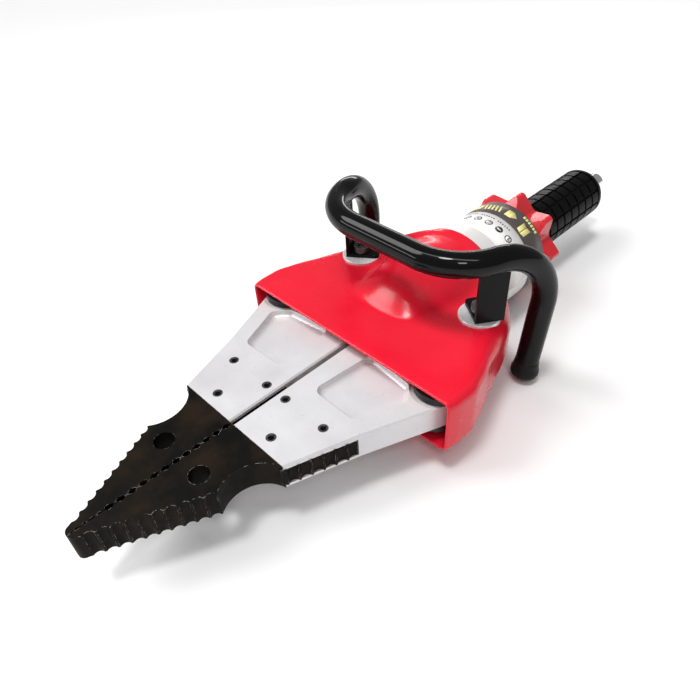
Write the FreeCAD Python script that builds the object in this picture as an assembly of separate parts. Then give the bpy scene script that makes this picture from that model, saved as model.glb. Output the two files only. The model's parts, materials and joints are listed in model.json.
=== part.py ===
import FreeCAD, Part
import math
import os

V = FreeCAD.Vector

# ---------------------------------------------------------------------------
# Hydraulic rescue spreader, jaws closed.  Millimetres.
# Modelling frame: X across the tool, Y from the tips (negative) to the grip
# (positive), Z up.  Z = 0 is the cylinder axis and the middle plane of the
# arms, Y = 0 is the seam between the arms and the steel tips.
# Everything is moved at the end so that the origin is the bottom centre.
# ---------------------------------------------------------------------------

# overall
NOSE_Y = -155.0
COUPLER_END_Y = 633.0
NECK_RADIUS = 63.0

# arm
PIVOT_X = 106.0
PIVOT_Y = 155.0
PIN_RADIUS = 11.0
RUNNING_GAP = 0.05
FREE_GAP = 0.3
BUSH_RADIUS = 14.0
EYE_RADIUS = 21.5
ARM_HALF_THICKNESS = 14.3
ARM_INNER_X = 2.6
SEAM_OUTER_X = 70.7
ARM_KNEE = (93.6, 67.0)
LEVER_LENGTH = 69.0
LEVER_ANGLE = math.radians(22.0)
LEVER_EYE_RADIUS = 14.0
LINK_PIN_RADIUS = 7.0
OPEN_PIVOT_GAP = 1.8
POCKET_DEPTH = 6.5
POCKET_CORNERS = [(23, 76), (77, 75), (97, 125), (83, 141), (29, 147)]
POCKET_RADIUS = 9.0
POCKET_FLOOR_FILLET = 5.0
SLOT_HALF = 9.8
SLOT_END_Y = 65.0
STEP_DEPTH = 1.2
STEP_RADIUS = 26.0
ARM_CHAMFER = 1.5
INNER_SHOULDER = (10.0, 161.0)
INNER_REAR_Y = 149.0

# tip
TIP_HALF_THICKNESS = 14.1
TIP_INNER_X = 0.4
TONGUE_GAP = 0.3
TIP_HOLE = (26.4, -52.3)
TIP_HOLE_RADIUS = 9.5
OUTER_EDGE_START = (52.1, -53.2)
OUTER_EDGE_END = (8.5, -147.2)
OUTER_EDGE_BULGE = (45.6, -27.5)
NOSE_ROUND = [(7.4, -149.5), (5.4, -153.2), (1.8, NOSE_Y)]
OUTER_TEETH = 10
OUTER_TOOTH_RADIUS = 5.2
OUTER_TOOTH_DEPTH = 2.3
INNER_TEETH = 12
INNER_TOOTH_START_Y = -5.8
INNER_TOOTH_PITCH = 10.3
INNER_TOOTH_RADIUS = 4.6
INNER_TOOTH_X = -2.2
NOSE_TEETH = 4
NOSE_TOOTH_START_Y = -127.5
NOSE_TOOTH_PITCH = 6.2
NOSE_TOOTH_RADIUS = 2.4
NOSE_TOOTH_X = -1.3
TONGUE_TEETH = 6
TONGUE_PROUD = 1.9
TONGUE_TOOTH_DEPTH = 3.3
TIP_PIN_SPOTS = [(39.0, 13.3), (13.5, 51.1), (64.2, 51.0)]
TIP_PIN_RADIUS = 4.8
TIP_PIN_WALL = 2.0
TIP_PIN_SLIT = 1.0

# linkage and hydraulics
LINK_LENGTH = 53.0
LINK_X = 38.0
PLATE_INNER_Z = 14.6
LINK_PLATE_THICKNESS = 6.0
LINK_HALF_WIDTH = 12.0
ROD_RADIUS = 16.0
ROD_END_RADIUS = 10.0
BEAM_FRONT = 11.0
BEAM_REAR = 19.0
BEAM_EYE_RADIUS = 11.5
BORE_RADIUS = 40.0
TUBE_RADIUS = 54.5
SLEEVE_RADIUS = 55.7
FLANGE_FRONT_Y = 288.0
TUBE_FRONT_Y = 306.0
TUBE_REAR_Y = 403.0
SLEEVE_FRONT_Y = 318.0
CAP_REAR_Y = 411.0
CAP_PLUG = 4.0
OIL_WAY_RADIUS = 5.0
FEED_RADIUS = 9.0
FEED_DEPTH = 13.5
PISTON_REAR_Y = 398.0
PISTON_LENGTH = 26.0
PISTON_SEAL = 5.0
PISTON_SEAL_SPOTS = [5.0, 15.0]
GLAND_LENGTH = 40.0
ROD_SEAL_WIDTH = 6.0
ROD_SEAL_DEPTH = 5.0
ROD_SEAL_SPOTS = [6.0, 22.0]

# yoke
LUG_RADIUS = 22.0
YOKE_PLATE_THICKNESS = 6.7
WINDOW_X = 60.0
WINDOW_FRONT_Y = 205.0
WINDOW_REAR = (46.0, 262.0)
CHEEK_REAR_X = 72.0
WEB_FRONT = (100.0, 214.0)
WEB_SIDE_X = 99.7
FLANGE_RADIUS = 56.0
FLANGE_PLATE = 10.0
FLANGE_BOLTS = 6
FLANGE_BOLT_CIRCLE = 47.0
FLANGE_BOLT_RADIUS = 4.0
FLANGE_BOLT_LENGTH = 36.0
HEX_SOCKET_DEPTH = 4.0
PIN_END = 2.5
SNAP_WALL = 3.0
SNAP_THICKNESS = 1.5
BOLT_RADIUS = 6.0
BOLT_HEAD_RADIUS = 9.0
BOLT_HEAD_HEIGHT = 7.0
BOSS_X = 81.7
BOSS_Y = 247.7
BOSS_RADIUS = 21.3
BOSS_TOP_Z = 34.0

# cover: station, half width, height above axis, depth below axis, corner
# radius, and the half width and height of the dome in the middle
COVER_WALL = 3.0
DOME_BLEND = 8.0
COVER_SECTIONS = [
    (133.3, 135.7, 29.0, 34.0, 7.0, 40.0, 0.0),
    (146.0, 138.8, 29.3, 34.0, 8.0, 42.0, 0.0),
    (165.0, 139.3, 29.6, 34.0, 9.0, 44.0, 6.0),
    (183.0, 134.8, 30.0, 34.5, 10.0, 48.0, 22.0),
    (197.0, 130.4, 30.2, 34.8, 11.0, 54.0, 38.0),
    (212.0, 124.5, 30.6, 35.5, 13.0, 58.0, 48.0),
    (235.0, 117.5, 31.5, 37.0, 17.0, 61.0, 56.0),
    (258.0, 110.0, 32.2, 40.0, 22.0, 62.5, 60.0),
    (280.0, 100.0, 34.3, 45.0, 30.0, 63.0, 61.0),
    (298.0, 85.0, 48.0, 50.0, 44.0, 63.0, 59.0),
    (308.0, 70.0, 59.0, 59.0, 57.0, 63.0, 50.0),
    (315.0, 63.0, 63.0, 63.0, 63.0, 63.0, 0.0),
]
# share of a quarter outline, and points in it: side, corner, top
QUARTER_STEPS = [(0.025, 2), (0.085, 14), (0.25, 12)]

# carrying handle
TUBE_R = 12.5
TUBE_WALL = 2.5
BAR_Z = 107.0
BAR_Y = 199.0
BAR_HALF_STRAIGHT = 40.0
BAR_BEND_RADIUS = 61.0
BAR_BEND_ANGLE = math.radians(70.0)
LEG_BEND_RADIUS = 65.0
LEG_LEAN = math.radians(4.5)
LEG_END_Z = -48.5
PLUG_RADIUS = 15.0
PLUG_HEIGHT = 8.0
PLUG_ROUND = 3.0
PLUG_STEM = 15.0
BRACKET_CORNER = (89.0, 231.0)
BRACKET_DIRECTION = (0.57, 0.82)
BRACKET_LENGTH = 29.0
FOOT_WIDTH = 36.5
FOOT_ROUND = 5.0
PLATE = 4.0

# control star and grip
STAR_FRONT_Y = 411.5
STAR_FRONT_RADIUS = 49.0
STAR_FLARE_Y = 429.0
STAR_RIM_Y = 438.0
STAR_HUB_Y = 445.0
STAR_REAR_Y = 449.0
STAR_TIP_RADIUS = 60.5
STAR_VALLEY_RADIUS = 43.0
STAR_NECK_RADIUS = 36.0
STAR_CORNERS = [5.0, 6.0]
STAR_RIB = 4.5
STAR_RIB_FOOT = 33.0
STAR_RIB_DEPTH = 6.0
STAR_RIB_PROUD = 1.5
STAR_LOBES = 8
HUB_RADIUS = 27.0
GRIP_START_Y = 449.5
GRIP_END_Y = 596.0
GRIP_RADIUS = 32.1
GRIP_GROOVE = 2.2
GRIP_GROOVE_WIDTH = 3.2
GRIP_ROWS = 8
GRIP_RIBS = 12
GRIP_PLAIN_END = 12.0
GRIP_END_WALL = 4.0
GRIP_CORE_RADIUS = 24.1
GRIP_HUB = 12.0
COUPLER_RADIUS = 12.0
COUPLER_GROOVE = 1.5
COUPLER_ROOT = 8.0
POPPET_RADIUS = 3.5
POPPET_WELL_RADIUS = 6.0
POPPET_WELL_DEPTH = 14.0

SIDES = {"right": 1, "left": -1}
parts = {}


# ------------------------------- helpers ------------------------------------
def rounded_outline(points, radii):
    """Closed wire in the plane Z = 0 with each corner rounded."""
    if not isinstance(radii, (list, tuple)):
        radii = [radii] * len(points)
    count = len(points)
    starts = []
    ends = []
    middles = []
    for i in range(count):
        here = V(points[i][0], points[i][1], 0)
        before = V(points[i - 1][0], points[i - 1][1], 0)
        after = V(points[(i + 1) % count][0], points[(i + 1) % count][1], 0)
        a = (before - here).normalize()
        b = (after - here).normalize()
        if radii[i] <= 0:
            starts.append(here)
            ends.append(here)
            middles.append(None)
            continue
        half = math.acos(max(-1.0, min(1.0, a.dot(b)))) / 2
        run = radii[i] / math.tan(half)
        bisector = (a + b).normalize()
        starts.append(here + a * run)
        ends.append(here + b * run)
        middles.append(here + bisector * (radii[i] / math.sin(half) - radii[i]))
    edges = []
    for i in range(count):
        if middles[i] is not None:
            edges.append(Part.Arc(starts[i], middles[i], ends[i]).toShape())
        following = starts[(i + 1) % count]
        if ends[i].distanceToPoint(following) > 1e-6:
            edges.append(Part.makeLine(ends[i], following))
    return Part.Wire(edges)


def slab(wire, z_low, z_high):
    """Solid between two heights from an outline in the plane Z = 0."""
    face = Part.Face(wire)
    face.translate(V(0, 0, z_low))
    return face.extrude(V(0, 0, z_high - z_low))


def post(x, y, radius, z_low, z_high):
    """Upright round solid."""
    return Part.makeCylinder(radius, z_high - z_low, V(x, y, z_low), V(0, 0, 1))


def drum(radius, y_front, y_rear):
    """Round solid on the cylinder axis."""
    return Part.makeCylinder(radius, y_rear - y_front, V(0, y_front, 0), V(0, 1, 0))


def ring(outer, inner, y_front, y_rear):
    """Round tube on the cylinder axis."""
    return drum(outer, y_front, y_rear).cut(drum(inner, y_front - 1, y_rear + 1))


def turned(profile):
    """Solid of revolution on the cylinder axis from (radius, y) pairs."""
    points = [V(radius, y, 0) for radius, y in profile]
    points.append(points[0])
    face = Part.Face(Part.makePolygon(points))
    return face.revolve(V(0, 0, 0), V(0, 1, 0), 360)


def box(x0, x1, y0, y1, z0, z1):
    """Block between two corners."""
    return Part.makeBox(x1 - x0, y1 - y0, z1 - z0, V(x0, y0, z0))


def fused(solids):
    """One shape from several touching solids."""
    result = solids[0]
    for solid in solids[1:]:
        result = result.fuse(solid)
    return result.removeSplitter()


def mirrored(shape):
    """Same shape on the other side of the middle plane."""
    return shape.mirror(V(0, 0, 0), V(1, 0, 0))


def handed(shape, side):
    """Right-hand shape as drawn, or its mirror image for the left side."""
    if SIDES[side] > 0:
        return shape
    return mirrored(shape)


def both_sides(shape):
    """The right-hand shape together with its mirror image."""
    return Part.makeCompound([shape, mirrored(shape)])


def both_faces(shape):
    """The upper shape together with its image below the middle plane."""
    return [shape, shape.mirror(V(0, 0, 0), V(0, 0, 1))]


# --------------------------------- arms -------------------------------------
lever_x = PIVOT_X - LEVER_LENGTH * math.cos(LEVER_ANGLE)
lever_y = PIVOT_Y + LEVER_LENGTH * math.sin(LEVER_ANGLE)
crosshead_y = lever_y + math.sqrt(LINK_LENGTH ** 2 - (lever_x - LINK_X) ** 2)
rod_front = crosshead_y + BEAM_REAR


def tangent_point(from_point, centre, radius, side):
    """Where a line from a point touches a circle."""
    dx = from_point[0] - centre[0]
    dy = from_point[1] - centre[1]
    distance = math.hypot(dx, dy)
    angle = math.atan2(dy, dx) + side * math.acos(radius / distance)
    return (centre[0] + radius * math.cos(angle), centre[1] + radius * math.sin(angle))


def is_long_rim(edge, touch):
    """True for the edges of the blade's faces along the seam and the outside."""
    bounds = edge.BoundBox
    if bounds.ZLength > 1:
        return False
    on_seam = bounds.XMax < ARM_INNER_X + 0.01
    outside = bounds.XMin > SEAM_OUTER_X - 0.01 and bounds.YMax < touch[1] + 0.01
    return on_seam or outside


def make_arm():
    """Right arm: forked front, pocketed blade, pivot eye and inner lever."""
    half = ARM_HALF_THICKNESS
    touch = tangent_point(ARM_KNEE, (PIVOT_X, PIVOT_Y), EYE_RADIUS, 1)
    outline = [
        (ARM_INNER_X, 0),
        (SEAM_OUTER_X, 0),
        ARM_KNEE,
        touch,
        (PIVOT_X, PIVOT_Y),
        (PIVOT_X, PIVOT_Y + EYE_RADIUS),
        (lever_x, lever_y + LEVER_EYE_RADIUS),
        (lever_x - LEVER_EYE_RADIUS, lever_y),
        INNER_SHOULDER,
        (ARM_INNER_X, INNER_REAR_Y),
    ]
    blade = slab(rounded_outline(outline, 0), -half, half)
    blade = blade.makeChamfer(ARM_CHAMFER, [e for e in blade.Edges if is_long_rim(e, touch)])
    eye = post(PIVOT_X, PIVOT_Y, EYE_RADIUS, -half, half)
    lever_eye = post(lever_x, lever_y, LEVER_EYE_RADIUS, -half, half)
    arm = fused([blade, eye, lever_eye])
    pocket = slab(rounded_outline(POCKET_CORNERS, POCKET_RADIUS), half - POCKET_DEPTH, half + 1)
    floor_edges = [e for e in pocket.Edges if e.BoundBox.ZMax < half - POCKET_DEPTH + 0.01]
    pocket = pocket.makeFillet(POCKET_FLOOR_FILLET, floor_edges)
    for solid in both_faces(pocket):
        arm = arm.cut(solid)
    for solid in both_faces(post(PIVOT_X, PIVOT_Y, STEP_RADIUS, half - STEP_DEPTH, half + 1)):
        arm = arm.cut(solid)
    arm = arm.cut(box(-20, 160, -5, SLOT_END_Y, -SLOT_HALF, SLOT_HALF))
    arm = arm.cut(post(PIVOT_X, PIVOT_Y, BUSH_RADIUS, -half - 1, half + 1))
    arm = arm.cut(post(lever_x, lever_y, LINK_PIN_RADIUS + OPEN_PIVOT_GAP, -half - 1, half + 1))
    for x, y in TIP_PIN_SPOTS:
        arm = arm.cut(post(x, y, TIP_PIN_RADIUS, -half - 1, half + 1))
    return arm


def make_bush():
    """Bearing bush pressed into the pivot eye."""
    half = ARM_HALF_THICKNESS - STEP_DEPTH
    outer = post(PIVOT_X, PIVOT_Y, BUSH_RADIUS, -half, half)
    return outer.cut(post(PIVOT_X, PIVOT_Y, PIN_RADIUS + RUNNING_GAP, -half - 1, half + 1))


# --------------------------------- tips -------------------------------------
def edge_teeth(start, end, count, radius, depth, half_height):
    """Round-bottomed grooves across a straight edge, to be cut away."""
    along = V(end[0] - start[0], end[1] - start[1], 0)
    pitch = along.Length / count
    along.normalize()
    outward = V(along.y, -along.x, 0)
    if outward.x < 0:
        outward = outward * -1
    grooves = []
    for i in range(count):
        centre = V(start[0], start[1], 0) + along * (pitch * (i + 0.5)) + outward * (radius - depth)
        grooves.append(post(centre.x, centre.y, radius, -half_height, half_height))
    return grooves


def make_tip():
    """Right steel tip: serrated jaw and the tongue that sits in the arm."""
    half = TIP_HALF_THICKNESS
    inner = TIP_INNER_X
    start = V(OUTER_EDGE_START[0], OUTER_EDGE_START[1], 0)
    heel = V(SEAM_OUTER_X, -FREE_GAP, 0)
    middle = V(OUTER_EDGE_BULGE[0], OUTER_EDGE_BULGE[1], 0)
    nose_side = V(OUTER_EDGE_END[0], OUTER_EDGE_END[1], 0)
    nose = [V(x, y, 0) for x, y in NOSE_ROUND]
    nose_end = V(inner, NOSE_Y, 0)
    edges = [
        Part.makeLine(V(inner, -FREE_GAP, 0), heel),
        Part.Arc(heel, middle, start).toShape(),
        Part.makeLine(start, nose_side),
        Part.makeLine(nose_side, nose[0]),
        Part.Arc(nose[0], nose[1], nose[2]).toShape(),
        Part.makeLine(nose[2], nose_end),
        Part.makeLine(nose_end, V(inner, -FREE_GAP, 0)),
    ]
    jaw = slab(Part.Wire(edges), -half, half)
    grooves = edge_teeth(OUTER_EDGE_START, OUTER_EDGE_END, OUTER_TEETH, OUTER_TOOTH_RADIUS,
                         OUTER_TOOTH_DEPTH, half + 1)
    for i in range(INNER_TEETH):
        y = INNER_TOOTH_START_Y - i * INNER_TOOTH_PITCH
        grooves.append(post(INNER_TOOTH_X, y, INNER_TOOTH_RADIUS, -half - 1, half + 1))
    for i in range(NOSE_TEETH):
        y = NOSE_TOOTH_START_Y - i * NOSE_TOOTH_PITCH
        grooves.append(post(NOSE_TOOTH_X, y, NOSE_TOOTH_RADIUS, -half - 1, half + 1))
    for groove in grooves:
        jaw = jaw.cut(groove)
    jaw = jaw.cut(post(TIP_HOLE[0], TIP_HOLE[1], TIP_HOLE_RADIUS, -half - 1, half + 1))
    return jaw.fuse(make_tongue()).removeSplitter()


def make_tongue():
    """Part of the tip inside the arm, its toothed edge standing proud."""
    thick = SLOT_HALF - TONGUE_GAP
    slope = (ARM_KNEE[0] - SEAM_OUTER_X) / ARM_KNEE[1]
    stop = SLOT_END_Y - TONGUE_GAP
    inner = ARM_INNER_X + 0.4
    start = (SEAM_OUTER_X + TONGUE_PROUD, 1)
    end = (start[0] + slope * stop, stop)
    outline = [(inner, -2), (start[0] - 2 * slope - 3, -2), start, end, (inner, stop)]
    tongue = slab(rounded_outline(outline, [0, 0, 0, 3, 0]), -thick, thick)
    for groove in edge_teeth(start, end, TONGUE_TEETH, OUTER_TOOTH_RADIUS, TONGUE_TOOTH_DEPTH, thick + 1):
        tongue = tongue.cut(groove)
    for x, y in TIP_PIN_SPOTS:
        tongue = tongue.cut(post(x, y, TIP_PIN_RADIUS, -thick - 1, thick + 1))
    return tongue


def make_tip_pins():
    """Three slotted spring pins holding a tip in its arm."""
    half = ARM_HALF_THICKNESS - FREE_GAP
    slit = TIP_PIN_SLIT / 2
    pins = []
    for x, y in TIP_PIN_SPOTS:
        pin = post(x, y, TIP_PIN_RADIUS, -half, half)
        pin = pin.cut(post(x, y, TIP_PIN_RADIUS - TIP_PIN_WALL, -half - 1, half + 1))
        pins.append(pin.cut(box(x - slit, x + slit, y, y + 2 * TIP_PIN_RADIUS, -half - 1, half + 1)))
    return Part.makeCompound(pins)


for side in SIDES:
    parts[side + "_arm"] = handed(make_arm(), side)
    parts[side + "_arm_bush"] = handed(make_bush(), side)
    parts[side + "_tip"] = handed(make_tip(), side)
    parts[side + "_tip_pins"] = handed(make_tip_pins(), side)


# --------------------------- links and crosshead ----------------------------
def make_link_plates():
    """Upper and lower link between the crosshead and an arm lever."""
    ends = [(lever_x, lever_y), (LINK_X, crosshead_y)]
    low = PLATE_INNER_Z
    high = low + LINK_PLATE_THICKNESS
    wide = LINK_HALF_WIDTH
    bar = box(LINK_X - wide + 0.5, LINK_X + wide + 0.5, lever_y, crosshead_y, low, high)
    plate = fused([bar] + [post(x, y, wide, low, high) for x, y in ends])
    for x, y in ends:
        plate = plate.cut(post(x, y, LINK_PIN_RADIUS, low - 1, high + 1))
    return Part.makeCompound(both_faces(plate))


def make_link_pins():
    """Pins pressed into the link plates."""
    reach = PLATE_INNER_Z + LINK_PLATE_THICKNESS
    return Part.makeCompound([
        post(lever_x, lever_y, LINK_PIN_RADIUS, -reach, reach),
        post(LINK_X, crosshead_y, LINK_PIN_RADIUS, -reach, reach),
    ])


def make_crosshead():
    """Cross beam on the rod with an eye for each link."""
    half = ARM_HALF_THICKNESS - 0.2
    beam = box(-LINK_X, LINK_X, crosshead_y - BEAM_FRONT, rod_front, -half, half)
    eyes = [post(x, crosshead_y, BEAM_EYE_RADIUS, -half, half) for x in (-LINK_X, LINK_X)]
    hub = drum(ROD_RADIUS + 4, crosshead_y - 4, rod_front)
    crosshead = fused([beam] + eyes + [hub])
    bore = LINK_PIN_RADIUS + RUNNING_GAP
    for x in (-LINK_X, LINK_X):
        crosshead = crosshead.cut(post(x, crosshead_y, bore, -half - 1, half + 1))
    return crosshead.cut(drum(ROD_END_RADIUS, crosshead_y, rod_front + 1))


for side in SIDES:
    parts[side + "_link_plates"] = handed(make_link_plates(), side)
    parts[side + "_link_pins"] = handed(make_link_pins(), side)
parts["crosshead"] = make_crosshead()

# --------------------------- piston and cylinder ----------------------------
piston_front = PISTON_REAR_Y - PISTON_LENGTH
parts["piston_rod"] = fused([
    drum(ROD_RADIUS, rod_front, piston_front),
    drum(ROD_END_RADIUS, crosshead_y, rod_front),
    drum(ROD_END_RADIUS, piston_front, PISTON_REAR_Y),
])

piston = ring(BORE_RADIUS - FREE_GAP, ROD_END_RADIUS, piston_front, PISTON_REAR_Y)
piston_seals = []
for spot in PISTON_SEAL_SPOTS:
    y = piston_front + spot
    inner = BORE_RADIUS - PISTON_SEAL
    piston = piston.cut(ring(BORE_RADIUS + 1, inner, y, y + PISTON_SEAL))
    piston_seals.append(ring(BORE_RADIUS - RUNNING_GAP, inner, y, y + PISTON_SEAL))
parts["piston"] = piston
parts["piston_seals"] = Part.makeCompound(piston_seals)

gland = ring(BORE_RADIUS, ROD_RADIUS + FREE_GAP, FLANGE_FRONT_Y, FLANGE_FRONT_Y + GLAND_LENGTH)
rod_seals = []
for spot in ROD_SEAL_SPOTS:
    y = FLANGE_FRONT_Y + spot
    outer = ROD_RADIUS + ROD_SEAL_DEPTH
    gland = gland.cut(ring(outer, ROD_RADIUS - 1, y, y + ROD_SEAL_WIDTH))
    rod_seals.append(ring(outer, ROD_RADIUS + RUNNING_GAP, y, y + ROD_SEAL_WIDTH))
parts["rod_gland"] = gland
parts["rod_seals"] = Part.makeCompound(rod_seals)

parts["cylinder_tube"] = ring(TUBE_RADIUS, BORE_RADIUS, TUBE_FRONT_Y, TUBE_REAR_Y)
parts["label_sleeve"] = ring(SLEEVE_RADIUS, TUBE_RADIUS, SLEEVE_FRONT_Y, CAP_REAR_Y)

hub_rear = GRIP_START_Y + GRIP_HUB
feed_front = hub_rear - FEED_DEPTH
end_cap = fused([
    drum(TUBE_RADIUS, TUBE_REAR_Y, CAP_REAR_Y),
    drum(BORE_RADIUS, TUBE_REAR_Y - CAP_PLUG, TUBE_REAR_Y),
    drum(HUB_RADIUS, CAP_REAR_Y, hub_rear),
])
end_cap = end_cap.cut(drum(OIL_WAY_RADIUS, TUBE_REAR_Y - CAP_PLUG - 1, hub_rear + 1))
parts["end_cap"] = end_cap.cut(drum(FEED_RADIUS, feed_front, hub_rear + 1))

# ---------------------------------- yoke ------------------------------------
def make_cheek():
    """Upper right cheek plate, from the pivot lug back to the flange."""
    low = PLATE_INNER_Z
    high = low + YOKE_PLATE_THICKNESS
    outline = [
        (PIVOT_X - LUG_RADIUS, PIVOT_Y),
        (PIVOT_X + LUG_RADIUS, PIVOT_Y),
        (BOSS_X + BOSS_RADIUS, BOSS_Y),
        (CHEEK_REAR_X, FLANGE_FRONT_Y),
        (WINDOW_REAR[0], FLANGE_FRONT_Y),
        (WINDOW_X, WINDOW_REAR[1]),
        (WINDOW_X + 1, WINDOW_FRONT_Y),
    ]
    plate = slab(rounded_outline(outline, 0), low, high)
    plate = plate.fuse(post(PIVOT_X, PIVOT_Y, LUG_RADIUS, low, high)).removeSplitter()
    plate = plate.cut(post(PIVOT_X, PIVOT_Y, PIN_RADIUS, low - 1, high + 1))
    return plate.cut(post(BOSS_X, BOSS_Y, BOLT_RADIUS, low - 1, high + 1))


def make_web():
    """Right web that joins the two cheek plates behind the arm."""
    low = PLATE_INNER_Z
    outline = [
        (WINDOW_X + 0.8, WEB_FRONT[1]),
        WEB_FRONT,
        (WEB_SIDE_X, BOSS_Y),
        (CHEEK_REAR_X, FLANGE_FRONT_Y),
        (WINDOW_REAR[0], FLANGE_FRONT_Y),
        (WINDOW_X, WINDOW_REAR[1]),
    ]
    web = slab(rounded_outline(outline, 0), -low, low)
    return web.cut(post(BOSS_X, BOSS_Y, BOLT_RADIUS, -low - 1, low + 1))


def make_snap_ring():
    """Split ring that keeps a pivot pin in the upper cheek."""
    top = plate_top + SNAP_THICKNESS
    snap = post(PIVOT_X, PIVOT_Y, PIN_RADIUS + SNAP_WALL, plate_top, top)
    snap = snap.cut(post(PIVOT_X, PIVOT_Y, PIN_RADIUS, plate_top - 1, top + 1))
    return snap.cut(box(PIVOT_X - 2, PIVOT_X + 2, PIVOT_Y, PIVOT_Y + 20, plate_top - 1, top + 1))


plate_top = PLATE_INNER_Z + YOKE_PLATE_THICKNESS
upper_cheek, lower_cheek = both_faces(make_cheek())
parts["upper_cheeks"] = both_sides(upper_cheek)
parts["lower_cheeks"] = both_sides(lower_cheek)
parts["yoke_webs"] = both_sides(make_web())

pin_reach = plate_top + PIN_END
parts["pivot_pins"] = both_sides(post(PIVOT_X, PIVOT_Y, PIN_RADIUS, -pin_reach, pin_reach))
snaps = both_faces(make_snap_ring())
parts["pivot_snap_rings"] = Part.makeCompound(snaps + [mirrored(snap) for snap in snaps])

flange = fused([
    drum(FLANGE_RADIUS, FLANGE_FRONT_Y, TUBE_FRONT_Y),
    box(-CHEEK_REAR_X, CHEEK_REAR_X, FLANGE_FRONT_Y, FLANGE_FRONT_Y + FLANGE_PLATE, -plate_top, plate_top),
])
flange = flange.cut(drum(BORE_RADIUS, FLANGE_FRONT_Y - 1, TUBE_FRONT_Y + 1))
flange_bolts = []
for i in range(FLANGE_BOLTS):
    angle = 2 * math.pi * (i + 0.5) / FLANGE_BOLTS
    x = FLANGE_BOLT_CIRCLE * math.cos(angle)
    z = FLANGE_BOLT_CIRCLE * math.sin(angle)
    forward = V(0, -1, 0)
    base = V(x, FLANGE_FRONT_Y, z)
    head = Part.makeCylinder(BOLT_RADIUS, BOLT_HEAD_HEIGHT, base, forward)
    socket_floor = V(x, FLANGE_FRONT_Y - BOLT_HEAD_HEIGHT + HEX_SOCKET_DEPTH - 1, z)
    socket = Part.makeCylinder(BOLT_RADIUS / 2, HEX_SOCKET_DEPTH, socket_floor, forward)
    shank = Part.makeCylinder(FLANGE_BOLT_RADIUS, FLANGE_BOLT_LENGTH, base, V(0, 1, 0))
    flange = flange.cut(shank)
    parts["cylinder_tube"] = parts["cylinder_tube"].cut(shank)
    flange_bolts.append(head.fuse(shank).cut(socket))
parts["yoke_bolts"] = Part.makeCompound(flange_bolts)
parts["yoke_flange"] = flange


# --------------------------------- cover ------------------------------------
def corner_box(wide, up, down, radius):
    """Points round a rounded rectangle, from the middle of its right side."""
    points = []
    for cx, cz, first in ((wide - radius, up - radius, 0), (radius - wide, up - radius, 90),
                          (radius - wide, radius - down, 180), (wide - radius, radius - down, 270)):
        for i in range(91):
            angle = math.radians(first + i)
            points.append((cx + radius * math.cos(angle), cz + radius * math.sin(angle)))
    return [(wide, 0.0)] + points + [(wide, 0.0)]


def finely_cut(points, step):
    """The same closed line with no stretch longer than a step."""
    result = [points[0]]
    for a, b in zip(points, points[1:]):
        pieces = max(1, math.ceil(math.dist(a, b) / step))
        for k in range(1, pieces + 1):
            share = k / pieces
            result.append((a[0] + share * (b[0] - a[0]), a[1] + share * (b[1] - a[1])))
    return result


def raised(point, dome_wide, dome_high):
    """A point of the outline, lifted on to the dome where that is higher."""
    x, z = point
    reach = min(1.0, abs(x) / dome_wide)
    dome = dome_high * math.sqrt(1 - reach ** 2)
    height = (abs(z) ** DOME_BLEND + dome ** DOME_BLEND) ** (1 / DOME_BLEND)
    return (x, math.copysign(height, z))


def sample_shares():
    """Places round the outline, as shares of its length."""
    quarter = [0.0]
    for end, count in QUARTER_STEPS:
        start = quarter[-1]
        quarter += [start + (end - start) * (k + 1) / count for k in range(count)]
    half = quarter + [0.5 - share for share in reversed(quarter[:-1])]
    return half[:-1] + [1 - share for share in reversed(half[1:])]


def cover_section(y, wide, up, down, radius, dome_wide, dome_high, inset):
    """Closed smooth outline of the cover at one station."""
    base = corner_box(wide - inset, up - inset, down - inset, radius - inset)
    outline = [raised(point, dome_wide - inset, max(0.0, dome_high - inset))
               for point in finely_cut(base, 0.5)]
    lengths = [0.0]
    for a, b in zip(outline, outline[1:]):
        lengths.append(lengths[-1] + math.dist(a, b))
    points = []
    place = 0
    for part in sample_shares():
        target = lengths[-1] * part
        while lengths[place + 1] < target or lengths[place + 1] == lengths[place]:
            place += 1
        share = (target - lengths[place]) / (lengths[place + 1] - lengths[place])
        a = outline[place]
        b = outline[place + 1]
        points.append(V(a[0] + share * (b[0] - a[0]), y, a[1] + share * (b[1] - a[1])))
    curve = Part.BSplineCurve()
    curve.interpolate(points, PeriodicFlag=True)
    return Part.Wire([curve.toShape()])


def cover_body(inset, extra):
    """Lofted solid of the cover, inset by the wall for the inside."""
    wires = []
    stations = list(COVER_SECTIONS)
    first = stations[0]
    last = stations[-1]
    if extra > 0:
        stations.insert(0, (first[0] - extra,) + first[1:])
        stations.append((last[0] + extra,) + last[1:])
    for row in stations:
        wires.append(cover_section(*row, inset))
    return Part.makeLoft(wires, True, False)


cover = cover_body(0, 0).cut(cover_body(COVER_WALL, 4))
for x in (-BOSS_X, BOSS_X):
    cover = cover.cut(post(x, BOSS_Y, BOSS_RADIUS, plate_top, BAR_Z))
parts["cover"] = cover

boss = post(BOSS_X, BOSS_Y, BOSS_RADIUS, plate_top, BOSS_TOP_Z)
boss = boss.cut(post(BOSS_X, BOSS_Y, BOLT_RADIUS, plate_top - 1, BOSS_TOP_Z + 1))
parts["bosses"] = both_sides(boss)

foot_top = BOSS_TOP_Z + PLATE
bolt = post(BOSS_X, BOSS_Y, BOLT_RADIUS, -plate_top, foot_top)
bolt_top = foot_top + BOLT_HEAD_HEIGHT
bolt = bolt.fuse(post(BOSS_X, BOSS_Y, BOLT_HEAD_RADIUS, foot_top, bolt_top))
bolt = bolt.cut(post(BOSS_X, BOSS_Y, BOLT_HEAD_RADIUS / 2, bolt_top - HEX_SOCKET_DEPTH, bolt_top + 1))
parts["boss_bolts"] = both_sides(bolt)

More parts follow.
